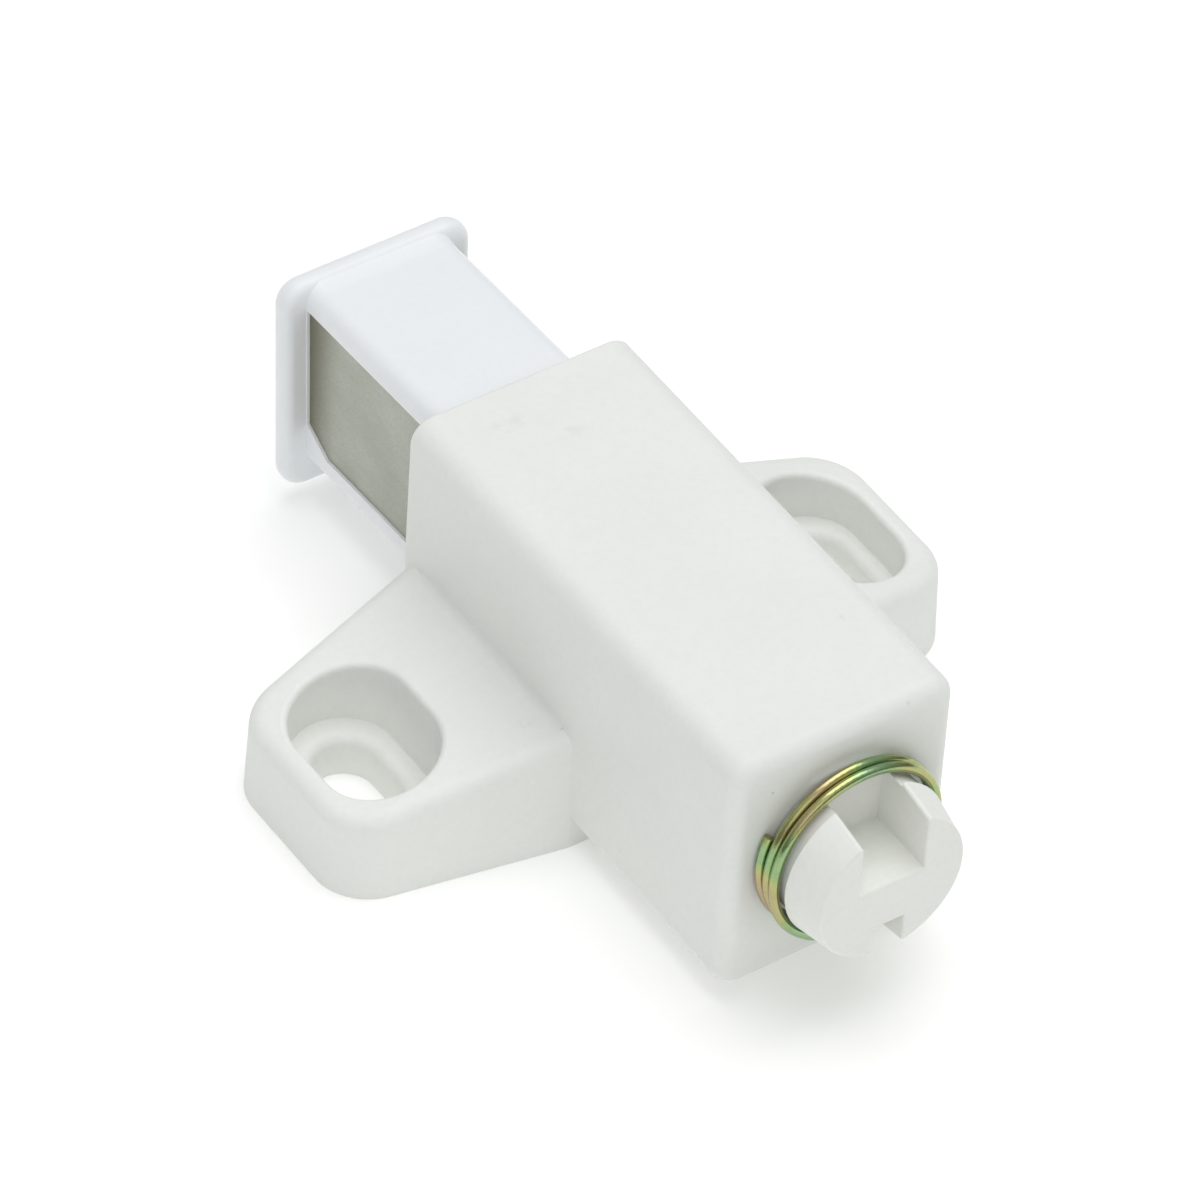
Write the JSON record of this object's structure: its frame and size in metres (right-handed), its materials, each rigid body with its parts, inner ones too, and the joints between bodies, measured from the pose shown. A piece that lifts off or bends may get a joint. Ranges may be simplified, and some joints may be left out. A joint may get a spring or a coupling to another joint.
{
  "type": "magnetic touch catch",
  "caption": "Screw-on magnetic push-to-open cupboard catch: a sprung square plunger with a magnet nose slides in a box housing with sloped slotted ears; a barbed tail holds a wire stop ring.",
  "frame": {"origin": "midway between the two screw slots, on the mounting plane under the base", "axes": "X across the ears from slot to slot, -Y the way the plunger's nose points, +Z away from the surface the catch is screwed to"},
  "size_m": [0.0452, 0.058, 0.02],
  "materials": {
    "housing_plastic": "fine matte grain, off-white",
    "plunger_plastic": "smooth satin, cool white",
    "stem_plastic": "fine matte grain, warm off-white",
    "pole_steel": "dull zinc-plated sheet",
    "ferrite": "dark matte ferrite",
    "spring_steel": "bright drawn wire",
    "yellow_zinc": "yellow passivated zinc on drawn wire, iridescent"
  },
  "bodies": {
    "housing_body": {"housing": "housing_plastic", "main_spring": "spring_steel"},
    "plunger_body": {"plunger_head": "plunger_plastic", "plunger_stem": "stem_plastic", "pole_plate_left": "pole_steel", "pole_plate_right": "pole_steel", "magnet": "ferrite", "stop_ring": "yellow_zinc"},
    "follower_body": {"cam_follower": "spring_steel"}
  },
  "joints": [
    {"name": "plunger_slide", "type": "slide", "parent": "housing_body", "child": "plunger_body", "axis": [0, 1, 0], "range_m": [0, 0.011], "stiffness_N_per_m": 400, "springref_m": -0.008, "deforming": ["main_spring"]},
    {"name": "cam_follower_swing", "type": "hinge", "parent": "housing_body", "child": "follower_body", "pos_m": [0, -0.0075, 0.0026], "axis": [0, 0, 1], "range_deg": [-0.1, 15.6]}
  ],
  "couplings": [
    {"joint": "cam_follower_swing", "follows": "plunger_slide", "rad_per_m": 24.545}
  ]
}
